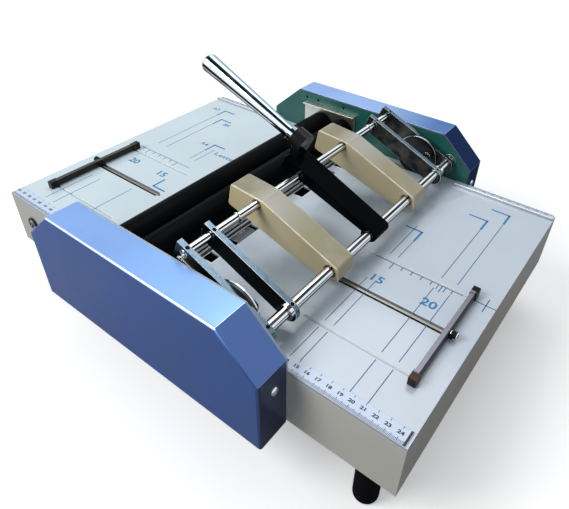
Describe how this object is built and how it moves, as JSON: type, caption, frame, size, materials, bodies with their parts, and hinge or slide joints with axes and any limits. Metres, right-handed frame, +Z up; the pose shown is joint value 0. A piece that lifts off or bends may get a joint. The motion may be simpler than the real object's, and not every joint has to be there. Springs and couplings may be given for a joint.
{
  "type": "booklet maker",
  "caption": "Desktop booklet maker: a hand lever swings a frame with two staplers, and drives a fold knife under a pair of rubber rollers between blue covers.",
  "frame": {"origin": "on the floor under the middle of the table", "axes": "+X along the paper feed to the lever's pivot side, +Y across to the rear, +Z up"},
  "size_m": [0.494, 0.4074, 0.2675],
  "materials": {
    "housing_grey": "satin",
    "inner_grey": "satin",
    "table_grey": "semi-gloss",
    "cover_blue": "metallic satin",
    "plate_teal": "satin",
    "zinc": "brushed",
    "steel": "ground",
    "chrome": "polished",
    "black_steel": "satin",
    "dark_bar": "satin",
    "cream": "satin",
    "bronze": "satin",
    "rubber_black": "matte",
    "foot_rubber": "matte",
    "ruler_white": "gloss",
    "gear_steel": "machined",
    "spring_steel": "bright"
  },
  "bodies": {
    "base": {"housing": "housing_grey", "bottom_plate": "inner_grey", "left_table": "table_grey", "right_table": "table_grey", "guide_plate": "inner_grey", "anvil_bar": "zinc", "anvils": "steel", "front_cover": "cover_blue", "rear_cover": "cover_blue", "front_side_plate": "plate_teal", "rear_side_plate": "plate_teal", "roller_brackets": "cream", "shaft_bushes": "bronze", "rulers": "ruler_white", "rear_fences": "zinc", "feet": "foot_rubber", "foot_screws": "zinc", "panel_screws": "zinc", "knife_guides": "chrome", "balance_springs": "spring_steel", "stop_rails": "steel", "wall_ring": "black_steel"},
    "swing": {"pivot_rod": "chrome", "tie_rod": "chrome", "outer_bars": "zinc", "inner_bars": "zinc", "cam_discs": "black_steel", "disc_bolts": "black_steel", "set_screws": "black_steel", "rod_rings": "chrome", "bar_straps": "cream", "strap_bolts": "chrome", "lever_arm": "black_steel", "handle_socket": "black_steel", "handle_nut": "chrome", "handle": "chrome", "front_stapler": "cream", "rear_stapler": "cream", "crank_arms": "steel"},
    "front_magazine": {"front_magazine": "zinc"},
    "rear_magazine": {"rear_magazine": "zinc"},
    "front_pusher": {"front_pusher": "inner_grey"},
    "rear_pusher": {"rear_pusher": "inner_grey"},
    "left_roller": {"left_roller": "rubber_black", "left_roller_shaft": "chrome", "left_roller_gear": "gear_steel"},
    "right_roller": {"right_roller": "rubber_black", "right_roller_shaft": "chrome", "right_roller_gear": "gear_steel"},
    "clutch": {"clutch_gear": "gear_steel"},
    "knife": {"fold_knife": "zinc", "knife_carrier": "steel"},
    "links": {"connecting_bars": "steel"},
    "lift": {"lift_shaft": "steel", "lift_arms": "steel", "drive_sector": "gear_steel"},
    "right_stop": {"right_stop_bar": "dark_bar"},
    "right_stop_knob": {"right_stop_knob": "black_steel"},
    "left_stop": {"left_stop_bar": "dark_bar"},
    "left_stop_knob": {"left_stop_knob": "black_steel"}
  },
  "joints": [
    {"name": "frame_swing", "type": "hinge", "parent": "base", "child": "swing", "pos_m": [0.1187, 0, 0.144], "axis": [0, 1, 0], "range_deg": [-19.5, 45]},
    {"name": "link_turn", "type": "hinge", "parent": "swing", "child": "links", "pos_m": [0.1297, 0, 0.12976], "axis": [0, 1, 0], "range_deg": [-45, 19.5]},
    {"name": "lift_turn", "type": "hinge", "parent": "base", "child": "lift", "pos_m": [0.004, 0, 0.09067], "axis": [0, 1, 0], "range_deg": [-19.5, 45]},
    {"name": "clutch_turn", "type": "hinge", "parent": "base", "child": "clutch", "pos_m": [-0.027, 0, 0.1385], "axis": [0, 1, 0], "range_deg": [-138.7, 60.4]},
    {"name": "knife_slide", "type": "slide", "parent": "base", "child": "knife", "axis": [0, 0, 1], "range_m": [-0.0115, 0.0265]},
    {"name": "right_roller_turn", "type": "hinge", "parent": "base", "child": "right_roller", "pos_m": [-0.027, 0, 0.1385], "axis": [0, 1, 0], "continuous": true},
    {"name": "left_roller_turn", "type": "hinge", "parent": "base", "child": "left_roller", "pos_m": [-0.059, 0, 0.1385], "axis": [0, 1, 0], "continuous": true},
    {"name": "front_magazine_slide", "type": "slide", "parent": "swing", "child": "front_magazine", "axis": [-0.9555, 0, 0.2951], "range_m": [0, 0.04]},
    {"name": "rear_magazine_slide", "type": "slide", "parent": "swing", "child": "rear_magazine", "axis": [-0.9555, 0, 0.2951], "range_m": [0, 0.04]},
    {"name": "front_pusher_slide", "type": "slide", "parent": "front_magazine", "child": "front_pusher", "axis": [-0.9555, 0, 0.2951], "range_m": [-0.01, 0.044]},
    {"name": "rear_pusher_slide", "type": "slide", "parent": "rear_magazine", "child": "rear_pusher", "axis": [-0.9555, 0, 0.2951], "range_m": [-0.01, 0.044]},
    {"name": "right_stop_slide", "type": "slide", "parent": "base", "child": "right_stop", "axis": [1, 0, 0], "range_m": [-0.1, 0]},
    {"name": "right_stop_knob_turn", "type": "hinge", "parent": "right_stop", "child": "right_stop_knob", "pos_m": [0.225, -0.0605, 0.1274], "axis": [1, 0, 0], "range_deg": [0, 180]},
    {"name": "left_stop_slide", "type": "slide", "parent": "base", "child": "left_stop", "axis": [1, 0, 0], "range_m": [0, 0.095]},
    {"name": "left_stop_knob_turn", "type": "hinge", "parent": "left_stop", "child": "left_stop_knob", "pos_m": [-0.219, -0.0695, 0.1274], "axis": [-1, 0, 0], "range_deg": [0, 180]}
  ],
  "couplings": [
    {"joint": "link_turn", "follows": "frame_swing", "ratio": -1},
    {"joint": "lift_turn", "follows": "frame_swing", "ratio": 1},
    {"joint": "clutch_turn", "follows": "frame_swing", "ratio": -3.0714},
    {"joint": "knife_slide", "follows": "frame_swing", "m_per_rad": 0.0335},
    {"joint": "left_roller_turn", "follows": "right_roller_turn", "ratio": -1}
  ]
}
